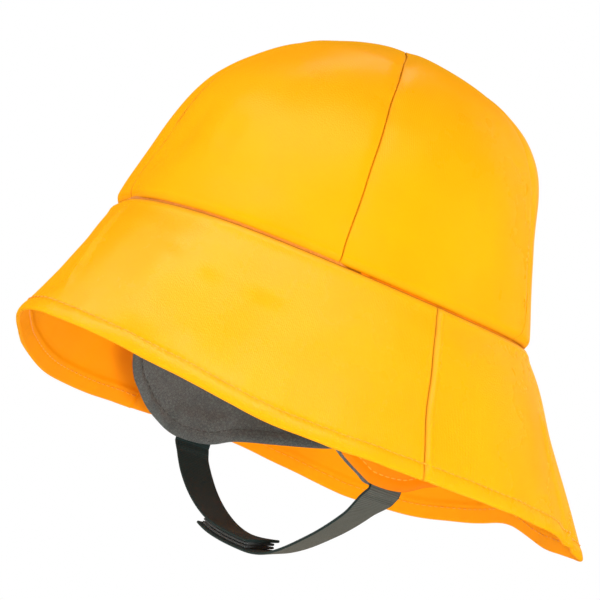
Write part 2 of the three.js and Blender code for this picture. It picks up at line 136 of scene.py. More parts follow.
def new_material(name):
    """An empty material with its Principled shader."""
    material = bpy.data.materials.new(name)
    material.use_nodes = True
    tree = material.node_tree
    tree.nodes.clear()
    shader = tree.nodes.new("ShaderNodeBsdfPrincipled")
    add_node(tree, "ShaderNodeOutputMaterial", Surface=shader.outputs["BSDF"])
    return material, tree, shader


def object_place(tree):
    return tree.nodes.new("ShaderNodeTexCoord").outputs["Object"]


def blend_colours(tree, share, low, high):
    """A colour between two, by a share that changes over the surface."""
    mixed = tree.nodes.new("ShaderNodeMix")
    mixed.data_type = "RGBA"
    return set_inputs(tree, mixed, n0=share, n6=low, n7=high).outputs[2]


floor_mesh = bpy.data.meshes.new("floor")
floor_shape = bmesh.new()
bmesh.ops.create_grid(floor_shape, x_segments=1, y_segments=1, size=floor_width / 2)
bmesh.ops.translate(floor_shape, vec=(0, 0, floor_height), verts=floor_shape.verts)
floor_shape.to_mesh(floor_mesh)
floor_shape.free()
floor = bpy.data.objects.new("floor", floor_mesh)
bpy.context.scene.collection.objects.link(floor)
floor_finish, floor_nodes, floor_shader = new_material("pale_floor")
speckle = add_node(floor_nodes, "ShaderNodeTexNoise", Vector=object_place(floor_nodes), Scale=3.0).outputs["Fac"]
floor_tone = blend_colours(floor_nodes, speckle, (0.80, 0.80, 0.79, 1), (0.84, 0.84, 0.83, 1))
set_inputs(floor_nodes, floor_shader, Base_Color=floor_tone, Roughness=0.9)
floor_mesh.materials.append(floor_finish)
floor.visible_glossy = False

# Crown: six tapered gores of coated rain cloth, sewn edge to edge and turned, so that each seam
# lies in a narrow groove. The cloth is smooth and a little shiny, and its lower edge rolls under.
HALF_LENGTH = 0.0897
HALF_WIDTH = 0.0747
CROWN_HEIGHT = 0.0928
SEAM_DIP = 0.0041
SEAM_SAG = {"down": 0.0015, "angle": -24, "spread": 9}
CROWN_TAPER = 0.25
CROWN_SHOULDER = 5.2
SEAM_ROLL = 0.0008
CLOTH = 0.0012
CLOTH_SEEN = 0.0009
GAP = 0.0003
SEAM_GAP = 0.00012
GORE_VALLEY = 0.0009
SEAM_GROOVE, GROOVE_WIDTH = 0.0007, 0.0032
TURNED_EDGE = 0.0005
LOWER_ROLL, LOWER_ROLL_SHARE = 0.0052, 0.42
SEAM_WANDER = 0.00022
PUCKER_DEPTH, PUCKER_REACH = 0.00045, 0.005
SIDE_SHADE, SIDE_SHADE_REACH, LOWER_SHADE_REACH = 0.55, 0.0008, 0.0010
WELD = 0.000002
CROWN_GORES = table(
    "name seam end foot end_foot wide tall area",
    ("crown_panel_front_left", -15, 61, 0, 0, 0.106, 0.143, 0.00955),
    ("crown_panel_side_left", 61, 132, 0, -10.5, 0.103, 0.14, 0.00987),
    ("crown_panel_back_left", 132, 180, -10.5, 0, 0.08, 0.147, 0.0062),
    ("crown_panel_back_right", 180, 233, 0, 0, 0.072, 0.1455, 0.0068),
    ("crown_panel_side_right", 233, 293, 0, 0, 0.0925, 0.138, 0.0085),
    ("crown_panel_front_right", 293, 345, 0, 0, 0.0755, 0.1415, 0.00683),
)
SEAM_FOOT_WAY = 0.05
OVAL_SWELLS = table("angle spread out", (32, 14, 0.0022), (146, 20, -0.0018))
OVAL_SWELL_WAY = 0.3
CROWN_FULLNESS = table(
    "way behind",
    (0, 0), (0.25, -0.012), (0.42, 0.006), (0.55, 0.055), (0.63, 0.087), (0.71, 0.121), (0.8, 0.19), (1, 0.24),
)
CROWN_DENTS = table(
    "angle way spread tall depth",
    (4, 0.6, 20, 0.16, 0.0018),
    (-2, 0.22, 16, 0.12, 0.00134),
    (76, 0.72, 14, 0.16, 0.00105),
    (150, 0.3, 18, 0.14, 0.0012),
    (-12, 0.012, 5, 0.024, 0.0010),
    (-9, 0.11, 3.5, 0.035, 0.0008),
    (-1, 0.18, 4, 0.09, 0.0006),
    (17, 0.23, 4, 0.06, 0.0005),
    (100, 0.1, 5, 0.12, 0.0006),
)
CROWN_RIPPLES = table("depth size seed", (0.0008, 0.042, 3.0), (0.00028, 0.016, 8.0))


def smooth(value, low, high):
    t = np.clip((value - low) / (high - low), 0, 1)
    return t * t * (3 - 2 * t)


def bump(distance, spread):
    return np.exp(-((distance / spread) ** 2))


def turn_between(a, b):
    return (a - b + 180) % 360 - 180


def beside(*columns):
    """Places, from a list of their values along each direction."""
    return np.stack(columns, axis=1)


def lengths(vectors):
    return np.linalg.norm(vectors, axis=1)


def walked_along(places):
    """How far along a line of places each of them is, in metres."""
    return np.concatenate([[0], np.cumsum(lengths(np.diff(places, axis=0)))])


def read_table(rows, key, column, at):
    """A smooth curve through one column of a table, read along its key column."""
    keys = np.array([row[key] for row in rows], float)
    values = np.array([row[column] for row in rows], float)
    before = np.maximum(np.arange(len(rows)) - 1, 0)
    after = np.minimum(np.arange(len(rows)) + 1, len(rows) - 1)
    slopes = (values[after] - values[before]) / (keys[after] - keys[before])
    at = np.clip(at, keys[0], keys[-1])
    i = np.clip(np.searchsorted(keys, at, "right") - 1, 0, len(rows) - 2)
    span = keys[i + 1] - keys[i]
    t = (at - keys[i]) / span
    eased = t * t * (3 - 2 * t)
    level_part = values[i] * (1 - eased) + values[i + 1] * eased
    return level_part + t * (1 - t) ** 2 * span * slopes[i] - t * t * (1 - t) * span * slopes[i + 1]


def seam_height(angle):
    """Height of the crown seam, which dips over each ear and sags at one place in front."""
    sag = SEAM_SAG["down"] * bump(turn_between(angle, SEAM_SAG["angle"]), SEAM_SAG["spread"])
    return -SEAM_DIP * np.sin(np.radians(angle)) ** 2 - sag


def outward(angle):
    """Level direction straight out of the head oval."""
    a = np.radians(angle)
    out = beside(np.sin(a) / HALF_WIDTH, -np.cos(a) / HALF_LENGTH, np.zeros_like(a))
    return out / lengths(out)[:, None]


def oval_place(angle, share, height, swell_share):
    """A place on the head oval, which swells out beside the forehead and in behind the ears."""
    a = np.radians(angle)
    place = beside(HALF_WIDTH * share * np.sin(a), -HALF_LENGTH * share * np.cos(a), height + 0 * a)
    for swell in OVAL_SWELLS:
        near = bump(np.abs(turn_between(angle, 0)) - swell["angle"], swell["spread"])
        place += outward(angle) * (swell["out"] * near * swell_share)[:, None]
    return place


def crown_place(angle, way):
    """Outer face of the crown: angle round from the front over the left ear, way up from the seam."""
    lift = np.sin(np.pi / 2 * way)
    roundness = np.sqrt(np.maximum(1 - np.abs(lift) ** CROWN_SHOULDER, 0))
    fullness = 1 - read_table(CROWN_FULLNESS, "way", "behind", way) * np.cos(np.radians(angle))
    share = (1 - CROWN_TAPER * lift) * roundness * fullness
    height = seam_height(angle) + (CROWN_HEIGHT - seam_height(angle)) * lift
    above_seam = CROWN_HEIGHT * lift
    out = SEAM_ROLL * smooth(above_seam, 0, 0.004) * bump(above_seam, 0.016)
    for dent in CROWN_DENTS:
        deep = bump(turn_between(angle, dent["angle"]), dent["spread"]) * bump(way - dent["way"], dent["tall"])
        out = out - dent["depth"] * deep * roundness
    return oval_place(angle, share, height, bump(way, OVAL_SWELL_WAY)) + outward(angle) * out[:, None]


def degree_width(face, angle, way):
    """How wide one degree is on a face."""
    return lengths(face(angle + 0.5, way) - face(angle - 0.5, way))


def face_normal(face, angle, way, sense):
    """Direction out of a face. It is level beside the crown seam, where crown and brim meet."""
    across = face(angle + 0.5, way) - face(angle - 0.5, way)
    along = face(angle, way + 0.005) - face(angle, way - 0.005)
    normal = sense * np.cross(across, along)
    normal /= np.maximum(lengths(normal), 1e-12)[:, None]
    normal[:, 2] *= smooth(np.abs(face(angle, way)[:, 2] - seam_height(angle)), GAP, 0.004)
    return normal / np.maximum(lengths(normal), 1e-12)[:, None]


def ripples(places, size, seed):
    """Soft random relief from -1 to 1, with humps about as wide as size."""
    shift = Vector((seed, seed * 0.7, -seed))
    return np.array([noise.noise(Vector(p) / size + shift) for p in places])


def rolled(distance, radius):
    """How far cloth that rolls into a seam has sunk at a distance from it."""
    near = np.clip(1 - distance / radius, 0, 1)
    return radius * (1 - np.sqrt(1 - near**2))


def crown_relief(place):
    """How far the crown's cloth stands out in its soft random ripples."""
    return sum(wave["depth"] * ripples(place, wave["size"], wave["seed"]) for wave in CROWN_RIPPLES)


def gore_valley(share, way):
    """How far the crown has sunk towards a seam, at a share of the way across its gore."""
    return GORE_VALLEY * (1 - np.sqrt(np.sin(np.pi * np.clip(share, 0, 1)))) * np.sin(np.pi * way)


def seam_groove(from_seam, way):
    return SEAM_GROOVE * bump(from_seam, GROOVE_WIDTH) * smooth(way, 0.06, 0.2) * smooth(1 - way, 0.01, 0.15)


def lay_cloth(columns, rows, shape):
    """A fine grid of cloth. shape takes how far across and along each point is, from 0 to 1, and
    gives its place, the same point on the flat cloth, and how much painted shade it takes near a seam or a fold."""
    cloth = bmesh.new()
    bmesh.ops.create_grid(cloth, x_segments=columns, y_segments=rows, size=0.5)
    flat = np.array([v.co[:2] for v in cloth.verts]) + 0.5
    places, patterns, shade_amounts = shape(flat[:, 0], flat[:, 1])
    pattern_layer = cloth.verts.layers.float_vector.new("pattern")
    shade_layer = cloth.verts.layers.float.new("painted_seam_shade")
    # Each vertex keeps its pattern place and its share of painted shade.
    for vertex, place, pattern, near in zip(cloth.verts, places.tolist(), patterns.tolist(), shade_amounts.tolist()):
        vertex.co = place
        vertex[pattern_layer] = pattern
        vertex[shade_layer] = near
    return cloth


def place_piece(name, shape, material, slot, *nodes):
    """Turns a finished bmesh into a piece that rides on the hat and stands for its CAD nodes."""
    mesh = bpy.data.meshes.new(name)
    shape.to_mesh(mesh)
    shape.free()
    mesh.shade_smooth()
    mesh.set_sharp_from_angle(angle=math.radians(55))
    mesh.materials.append(material)
    piece = bpy.data.objects.new(name, mesh)
    bpy.context.scene.collection.objects.link(piece)
    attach(piece, "root")
    if nodes:
        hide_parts(*nodes)
    return piece


def gore_shape(gore):
    """The shape of one gore between two seams, both of which wander a little."""
    ways = np.linspace(0, 1, 200)
    first, last = gore["seam"], gore["end"]
    risen = walked_along(crown_place(np.full_like(ways, (first + last) / 2), ways))

    def shape(across, along):
        share = across - 0.8 * np.sin(2 * np.pi * across) / (2 * np.pi)
        way = (along + 3 * along**2) / 4
        at_foot = np.exp(-way / SEAM_FOOT_WAY)
        start, end = first + gore["foot"] * at_foot, last + gore["end_foot"] * at_foot
        angle = start + (end - start) * share
        per_degree = degree_width(crown_place, angle, way)
        pull = np.minimum(SEAM_GAP / 2 / np.maximum(per_degree, 1e-6), (end - start) / 2)
        up = np.interp(way, ways, risen)
        wander = np.zeros_like(angle)
        for seam, side in ((first, 1 - share), (last % 360, share)):
            wave = np.sin(up / 0.0115 + seam) + 0.7 * np.sin(up / 0.0047 + 2.1 * seam)
            wander += SEAM_WANDER * wave * smooth(side, 0.8, 1) * smooth(way, 0, 0.06)
        angle = start + pull + (end - start - 2 * pull) * share + wander / np.maximum(per_degree, 0.0002)
        place = crown_place(angle, way)
        normal = face_normal(crown_place, angle, np.minimum(way, 0.985), 1)
        from_seam = np.minimum(share, 1 - share) * (end - start) * per_degree
        above_seam = place[:, 2] - seam_height(angle)
        puckers = ripples(beside(angle * 0.02, up / 0.009, 0 * up), 1.0, first)
        sunk = gore_valley(share, way) + rolled(from_seam, TURNED_EDGE) * smooth(1 - way, 0, 0.1)
        sunk += rolled(above_seam, TURNED_EDGE) + LOWER_ROLL_SHARE * rolled(above_seam, LOWER_ROLL)
        sunk += seam_groove(from_seam, way) - crown_relief(place)
        sunk -= PUCKER_DEPTH * puckers * np.exp(-from_seam / PUCKER_REACH) * smooth(way, 0, 0.1)
        place = place - normal * (sunk * smooth(1 - way, 0, 0.03))[:, None]
        pattern = beside((share - 0.5) * (end - start) * per_degree, up, 0 * up)
        # Painted shade: darker beside each seam and along the lower edge, where the crown rolls under into the
        # crease.
        side_shade = SIDE_SHADE * np.exp(-from_seam / SIDE_SHADE_REACH)
        return place, pattern, np.maximum(side_shade, np.exp(-above_seam / LOWER_SHADE_REACH))

    return shape


def spread_value(tree, value, low, high, to_low, to_high):
    """A value stretched from one range to another."""
    ends = {"From_Min": low, "From_Max": high, "To_Min": to_low, "To_Max": to_high}
    return add_node(tree, "ShaderNodeMapRange", Value=value, **ends).outputs["Result"]


def sum_of(tree, first, second, operation="ADD"):
    joined = add_node(tree, "ShaderNodeMath", n0=first, n1=second)
    joined.operation = operation
    return joined.outputs["Value"]


def product_of(tree, first, second):
    return sum_of(tree, first, second, "MULTIPLY")


def relief_normal(tree, height, strength, depth):
    """The normal of a fine relief, from its height over the surface."""
    return add_node(tree, "ShaderNodeBump", Height=height, Strength=strength, Distance=depth).outputs["Normal"]


def build_cloth_wear():
    """Node group for cloth that is worn and handled: a fine grain, large faint blotches and scuffs."""
    group = bpy.data.node_groups.new("cloth_wear", "ShaderNodeTree")
    group.interface.new_socket("Place", in_out="INPUT", socket_type="NodeSocketVector")
    for name, first in (("Grain Scale", 1500.0), ("Blotch Scale", 30.0)):
        socket = group.interface.new_socket(name, in_out="INPUT", socket_type="NodeSocketFloat")
        socket.default_value = first
    for name in ("Grain", "Blotch", "Scuff"):
        group.interface.new_socket(name, in_out="OUTPUT", socket_type="NodeSocketFloat")
    start = group.nodes.new("NodeGroupInput")
    scuff_scale = product_of(group, start.outputs["Blotch Scale"], 7.0)
    grain, blotch, scuff = (
        add_node(group, "ShaderNodeTexNoise", Vector=start.outputs["Place"], Scale=scale, Detail=detail)
        for scale, detail in (
            (start.outputs["Grain Scale"], 3.0), (start.outputs["Blotch Scale"], 4.0), (scuff_scale, 6.0)
        )
    )
    scuff.inputs["Roughness"].default_value = 0.7
    scuffed = spread_value(group, scuff.outputs["Fac"], 0.52, 0.75, 0, 1)
    add_node(group, "NodeGroupOutput", Grain=grain.outputs["Fac"], Blotch=blotch.outputs["Fac"], Scuff=scuffed)
    return group


cloth_wear = build_cloth_wear()


def wear_outputs(tree, place, grain_scale, blotch_scale):
    worn = tree.nodes.new("ShaderNodeGroup")
    worn.node_tree = cloth_wear
    return set_inputs(tree, worn, Place=place, Grain_Scale=grain_scale, Blotch_Scale=blotch_scale).outputs


def attribute(tree, name, output):
    read = tree.nodes.new("ShaderNodeAttribute")
    read.attribute_name = name
    return read.outputs[output]


def coated_cloth(name, light_tone, deep_tone, painted_shade_tone, roughness, shine, grain_depth):
    """Rain cloth with a smooth coating: the knit behind it shows as a fine rib; seams get painted shade."""
    material, tree, shader = new_material(name)
    pattern = attribute(tree, "pattern", "Vector")
    near = attribute(tree, "painted_seam_shade", "Fac")
    worn = wear_outputs(tree, object_place(tree), 1500.0, 26.0)
    knit = add_node(tree, "ShaderNodeTexWave", Vector=pattern, Scale=400.0, Distortion=1.2, Detail=1.0)
    body = blend_colours(tree, spread_value(tree, worn["Blotch"], 0.35, 0.65, 0, 1), deep_tone, light_tone)
    scuffed = blend_colours(tree, product_of(tree, worn["Scuff"], 0.03), body, (1.0, 0.50, 0.002, 1))
    # Painted shade: the colour darkens towards the dark tone in seam grooves, creases and needle holes.
    colour = blend_colours(tree, spread_value(tree, near, 0.25, 1.0, 0, 0.9), scuffed, painted_shade_tone)
    blotched = spread_value(tree, worn["Blotch"], 0.3, 0.7, roughness - 0.03, roughness + 0.03)
    rough = sum_of(tree, product_of(tree, worn["Scuff"], 0.015), blotched)
    rough = sum_of(tree, rough, spread_value(tree, near, 0.1, 0.7, 0, 0.55))
    height = sum_of(tree, worn["Grain"], product_of(tree, knit.outputs["Fac"], 0.3))
    normal = relief_normal(tree, height, 0.5, grain_depth)
    set_inputs(tree, shader, Base_Color=colour, Roughness=rough, Normal=normal, Specular_IOR_Level=shine)
    return material


# The dark tone painted into seams and creases as their shade.
SEAM_SHADE_TONE = (0.24, 0.075, 0.001, 1)
crown_outside = coated_cloth(
    "coated_cloth_crown", (0.97, 0.382, 0.001, 1), (0.96, 0.356, 0.001, 1), SEAM_SHADE_TONE, 0.29, 0.10, 0.00012
)
# The cloth's matt backing, on faces towards the middle of the hat; its deeper orange is painted shade.
backing_with_painted_shade = coated_cloth(
    "coated_cloth_backing_shaded", (1.0, 0.350, 0.001, 1), (1.0, 0.325, 0.001, 1), (0.90, 0.26, 0.001, 1),
    0.60, 0.08, 0.00016,
)


def line_inside(piece, lining):
    """Gives the faces that look towards the middle of the hat their own finish."""
    piece.data.materials.append(lining)
    for face in piece.data.polygons:
        middle = Vector((face.center.x, face.center.y, max(face.center.z, 0.0)))
        if face.normal.dot(middle) < 0:
            face.material_index = 1


for gore in CROWN_GORES:
    shape = lay_cloth(72, 130, gore_shape(gore))
    bmesh.ops.remove_doubles(shape, verts=shape.verts, dist=WELD)
    bmesh.ops.solidify(shape, geom=shape.faces[:], thickness=CLOTH_SEEN)
    gore["piece"] = place_piece(gore["name"] + "_cloth", shape, crown_outside, "coated_cloth", gore["name"])
    line_inside(gore["piece"], backing_with_painted_shade)

# Brim: two panels of the same cloth, one in front and one behind, joined over the ears. The edge is
# turned in and sewn down all round, and the back drops into a soft folded corner.
BRIM_REACH = 0.035
BRIM_DROP = 0.066
BRIM_SEAM_ANGLE = 89
HEM_WIDTH = 0.0078
HEM_ROW = 0.0062
HEM_TOP = 0.0100
HEM_STEP = 0.0005
HEM_PULL, HEM_PUFF, HEM_PUCKER, HEM_WAVE = 0.00034, 0.00026, 0.00045, 0.0005
SIDE_ROLL, SIDE_RIDGE, SIDE_BOW, SIDE_WANDER = 0.0005, 0.0007, 0.0012, 0.0003
BRIM_SIDE_SHADE, BRIM_TOP_SHADE_REACH, HOLE_SHADE = 0.7, 0.0009, 0.55
STITCH_PITCH = 0.0032
STITCH_LENGTH, THREAD_WIDTH, THREAD_LIFT = 0.0025, 0.0005, 0.00012
FAR_FROM_SIDE = 0.05
BRIM_EDGE = table(
    "angle reach drop",
    (-30, 0.54, 0.93),
    (0, 0.92, 0.83),
    (30, 0.54, 0.93),
    (60, 0.63, 1.047),
    (90, 0.787, 1.037),
    (120, 1.13, 1.033),
    (150, 1.14, 1.09),
    (180, 1, 0.992),
    (210, 1.14, 1.09),
)
BRIM_FOLDS = table(
    "angle spread edge_out half_out edge_down",
    (149, 9, 0.206, 0.07, 0),
    (166, 6, 0.02, 0, 0.04),
    (20, 7, 0.03, 0.05, 0),
    (176, 8, -0.06, -0.04, -0.05),
    (250, 16, 0, 0, -0.08),
)

# Fine creases, raised or pressed in, each from an angle at the crown seam to another at the edge.
BRIM_CREASES = table(
    "top_angle edge_angle spread first last out",
    (-9, 6, 1.1, 0.02, 0.85, 0.0014),
    (132, 136, 2.0, 0.3, 1.2, 0.0012),
    (20, 24, 4, 0.25, 0.95, 0.0007),
    (31, 34, 3, 0.3, 0.9, -0.0007),
    (48, 44, 5, 0.3, 1.0, -0.0008),
    (112, 110, 2.2, 0.85, 1.3, 0.0005),
)
BRIM_RIPPLES = table("depth size seed full_below", (0.0010, 0.048, 11.0, 0.02), (0.0004, 0.019, 15.0, 0.01))


def brim_place(angle, way):
    """Outer face of the brim: angle round, way down from the crown seam to the folded edge."""
    aside = np.abs(turn_between(angle, 0))
    top = seam_height(angle) - GAP
    reach = BRIM_REACH * read_table(BRIM_EDGE, "angle", "reach", aside) * way
    height = top + (-BRIM_DROP * read_table(BRIM_EDGE, "angle", "drop", aside) - top) * way
    for fold in BRIM_FOLDS:
        share = bump(turn_between(angle, fold["angle"]), fold["spread"])
        reach = reach + BRIM_REACH * share * (fold["edge_out"] * way**2 + fold["half_out"] * 4 * way * (1 - way))
        height = height - BRIM_REACH * share * fold["edge_down"] * way**2
    place = oval_place(angle, 1, height, 1.0) + outward(angle) * reach[:, None]
    place[:, 2] = height
    return place


def brim_slant(angle):
    return lengths(brim_place(angle, np.ones_like(angle)) - brim_place(angle, np.zeros_like(angle)))


def arc_round(face, way):
    """How far round a face each whole degree is, at one way along it, in metres."""
    angles = np.arange(-180.0, 541.0)
    return angles, walked_along(face(angles, np.full_like(angles, way)))


edge_angles, edge_walked = arc_round(brim_place, 1.0)


def brim_profile():
    """The brim's section, down the outside, round the fold and up the inside: how much of the height
    above the hem, the distance from the edge, and how deep it lies behind the outer face."""
    fold = CLOTH_SEEN
    upper = np.concatenate([1 - np.linspace(0, 0.045, 10), 1 - np.linspace(0.065, 1, 36)])
    raw_edge = [(HEM_WIDTH, 1.9), (HEM_WIDTH + 0.0006, 1.6), (HEM_WIDTH + 0.0012, 1.25), (HEM_TOP, 1)]
    rows = [(share, HEM_TOP, 0.0) for share in upper]
    rows += [(0.0, up, 0.0) for up in np.arange(HEM_TOP - HEM_STEP, 0.0011, -HEM_STEP)]
    rows += [(0.0, fold * (1 - math.sin(b)), fold * (1 - math.cos(b))) for b in np.linspace(0, np.pi, 9)]
    rows += [(0.0, up, 2 * fold) for up in np.arange(0.0012, HEM_WIDTH - 0.0003, HEM_STEP)]
    rows += [(0.0, up, folds * fold) for up, folds in raw_edge]
    rows += [(share, HEM_TOP, fold) for share in np.linspace(0, 1, 34)]
    return np.array(rows + rows[:1])


def needle_holes(walked):
    """From 0 in the middle of each hem stitch to 1 at the hole between two of them."""
    return 0.5 + 0.5 * np.cos(2 * np.pi * walked / STITCH_PITCH)


def brim_surface(angle, from_edge, deep, from_side, ridge):
    """A place in the brim at a distance up from its edge and a depth behind its outer face."""
    slant = brim_slant(angle)
    way = 1 - from_edge / slant
    walked = np.interp(angle, edge_angles, edge_walked)
    place = brim_place(angle, way)
    normal = face_normal(brim_place, angle, way, -1)
    is_outside = deep < 0.6 * CLOTH_SEEN
    along_hem = beside(walked / 0.0085, from_edge / 0.02, 0 * walked)
    pull = 1 + 0.8 * ripples(along_hem, 2.0, 30.0)
    sunk = HEM_PULL * bump(from_edge - HEM_ROW, 0.0008) * needle_holes(walked) * pull
    sunk -= HEM_PUFF * np.sin(np.pi * np.clip((from_edge - 0.0006) / 0.0052, 0, 1)) * is_outside
    sunk = sunk * np.where(is_outside, 1.0, -0.8)
    sunk -= HEM_PUCKER * ripples(along_hem, 1.0, 5.0) * np.exp(-np.abs(from_edge - HEM_ROW) / 0.007)
    down = slant - from_edge
    sunk += rolled(down, 0.0009) - 0.0003 * bump(down - 0.0022, 0.0014)
    sunk -= 0.0007 * smooth(down, 0, 0.013) * (1 - smooth(down, 0.015, 0.05))
    above_edge = smooth(from_edge, 0.0005, 0.006)
    sunk += rolled(from_side, SIDE_ROLL) * above_edge + 0.0002 * bump(from_side, 0.0016) * (1 - above_edge)
    ridge_share = 0.3 + 0.7 * smooth(from_edge, 0.001, 0.009)
    sunk -= ridge * SIDE_RIDGE * bump(from_side - 0.0021, 0.0013) * ridge_share
    for wave in BRIM_RIPPLES:
        height = wave["depth"] * ripples(place, wave["size"], wave["seed"])
        sunk -= height * smooth(down, 0, wave["full_below"])
    for crease in BRIM_CREASES:
        middle = crease["top_angle"] + (crease["edge_angle"] - crease["top_angle"]) * way
        share = smooth(way - crease["first"], 0, 0.12) * smooth(crease["last"] - way, 0, 0.2)
        sunk -= crease["out"] * bump(turn_between(angle, middle), crease["spread"]) * share
    place[:, 2] += HEM_WAVE * ripples(along_hem, 2.4, 40.0) * (1 - smooth(from_edge, 0.003, 0.02))
    return place - normal * (deep + sunk)[:, None], walked


def brim_shape(start, end, ridge, profile):
    """The shape of one brim panel. Its side seams bow a little towards the front."""
    rows = np.linspace(0, 1, len(profile))

    def shape(across, along):
        share = np.interp(across, [0, 0.06, 0.94, 1], [0, 0.012, 0.988, 1])
        upper, from_edge, deep = (np.interp(along, rows, profile[:, k]) for k in range(3))
        angle = start + (end - start) * share
        slant = brim_slant(angle)
        from_edge = from_edge + upper * (slant - HEM_TOP)
        way = 1 - from_edge / slant
        per_degree = degree_width(brim_place, angle, way)
        down = slant - from_edge
        at_start, at_end = 1 - smooth(share, 0, 0.06), smooth(share, 0.94, 1)
        wander = SIDE_WANDER * (np.sin(down / 0.011) + 0.6 * np.sin(down / 0.0043 + 1)) * (at_start + at_end)
        wander += SIDE_BOW * np.sin(np.pi * way) * (at_start - at_end) * (-1 if ridge else 1)
        angle = start + SEAM_GAP / 2 / per_degree + (end - start - SEAM_GAP / per_degree) * share
        angle = angle + wander / per_degree
        from_side = np.minimum(share, 1 - share) * (end - start) * per_degree
        place, walked = brim_surface(angle, from_edge, deep, from_side, ridge)
        # Painted shade: darker beside the side seams, in the crease under the crown's rolled edge and in the hem's
        # needle holes.
        side_shade = BRIM_SIDE_SHADE * np.exp(-from_side / SIDE_SHADE_REACH)
        near = np.maximum(side_shade, np.exp(-down / BRIM_TOP_SHADE_REACH))
        near = np.maximum(near, HOLE_SHADE * needle_holes(walked) ** 2 * bump(from_edge - HEM_ROW, 0.0004))
        return place, beside(walked, from_edge, deep), near

    return shape


def closed_cloth(columns, rows, shape):
    """Cloth whose shape runs right round its section: welded there, closed at its ends, faces out."""
    cloth = lay_cloth(columns, rows, shape)
    bmesh.ops.remove_doubles(cloth, verts=cloth.verts, dist=WELD)
    bmesh.ops.holes_fill(cloth, edges=[e for e in cloth.edges if e.is_boundary], sides=0)
    bmesh.ops.recalc_face_normals(cloth, faces=cloth.faces)
    return cloth


def add_stitches(name, places, directions, outs, material, slot):
    """A row of sewn stitches: each is a short bead of thread, pulled down at both ends."""
    thread = bmesh.new()
    bead = Matrix.Diagonal((STITCH_LENGTH / 2, THREAD_WIDTH / 2, THREAD_WIDTH / 2, 1))
    bead = bead @ Matrix.Rotation(math.pi / 2, 4, "Y")
    for place, along, out in zip(places, directions, outs):
        along = Vector(along).normalized()
        side = Vector(out).normalized().cross(along).normalized()
        turned = Matrix((along, side, along.cross(side))).transposed().to_4x4()
        sewn = Matrix.Translation(Vector(place)) @ turned @ bead
        bmesh.ops.create_uvsphere(thread, u_segments=6, v_segments=5, radius=1.0, matrix=sewn)
    return place_piece(name, thread, material, slot)


def sewing_thread(name, tone, dark_tone):
    """Spun polyester thread: fine twisted plies with a soft shine."""
    material, tree, shader = new_material(name)
    place = object_place(tree)
    twist = add_node(tree, "ShaderNodeTexWave", Vector=place, Scale=1200.0, Distortion=2.0)
    twist.bands_direction = "DIAGONAL"
    worn = wear_outputs(tree, place, 3000.0, 60.0)
    colour = blend_colours(tree, product_of(tree, twist.outputs["Fac"], worn["Blotch"]), dark_tone, tone)
    rough = spread_value(tree, worn["Grain"], 0.3, 0.7, 0.5, 0.7)
    normal = relief_normal(tree, twist.outputs["Fac"], 0.6, 0.00008)
    set_inputs(tree, shader, Base_Color=colour, Roughness=rough, Normal=normal, Sheen_Weight=0.2)
    return material


def hem_stitches(start, end, deep):
    """Where the hem's stitches lie between two angles, on the outside or on the inside."""
    first, last = (np.interp(a, edge_angles, edge_walked) for a in (start, end))
    middles = np.arange(math.ceil(first / STITCH_PITCH - 0.5) + 0.5, last / STITCH_PITCH, 1.0) * STITCH_PITCH
    row, behind, far = (np.full_like(middles, value) for value in (HEM_ROW, deep, FAR_FROM_SIDE))
    half = STITCH_PITCH * 0.3
    middle, before, after = (np.interp(middles + d, edge_walked, edge_angles) for d in (0, -half, half))
    places, tails, heads = (brim_surface(at, row, behind, far, 0)[0] for at in (middle, before, after))
    outs = face_normal(brim_place, middle, 1 - row / brim_slant(middle), -1) * (1 if deep == 0 else -1)
    return places + outs * THREAD_LIFT, heads - tails, outs


brim_outside = coated_cloth(
    "coated_cloth_brim", (0.97, 0.388, 0.001, 1), (0.96, 0.364, 0.001, 1), SEAM_SHADE_TONE, 0.27, 0.24, 0.00022
)
yellow_thread = sewing_thread("yellow_thread", (1.0, 0.47, 0.02, 1), (0.94, 0.36, 0.006, 1))
BRIM_PANELS = table(
    "name start end ridge wide tall area",
    ("brim_front", -BRIM_SEAM_ANGLE, BRIM_SEAM_ANGLE, 0, 0.336, 0.0775, 0.0222),
    ("brim_back", BRIM_SEAM_ANGLE, 360 - BRIM_SEAM_ANGLE, 1, 0.386, 0.0927, 0.0274),
)
for panel in BRIM_PANELS:
    name, start, end = panel["name"], panel["start"], panel["end"]
    profile = brim_profile()
    shape = closed_cloth(520, len(profile) - 1, brim_shape(start, end, panel["ridge"], profile))
    panel["piece"], panel["sewn"] = place_piece(name + "_cloth", shape, brim_outside, "coated_cloth", name), []
    line_inside(panel["piece"], backing_with_painted_shade)
    for face, deep in (("outside", 0.0), ("inside", 2 * CLOTH_SEEN)):
        row = f"{name}_hem_stitches_{face}"
        panel["sewn"].append(add_stitches(row, *hem_stitches(start, end, deep), yellow_thread, "coated_cloth"))

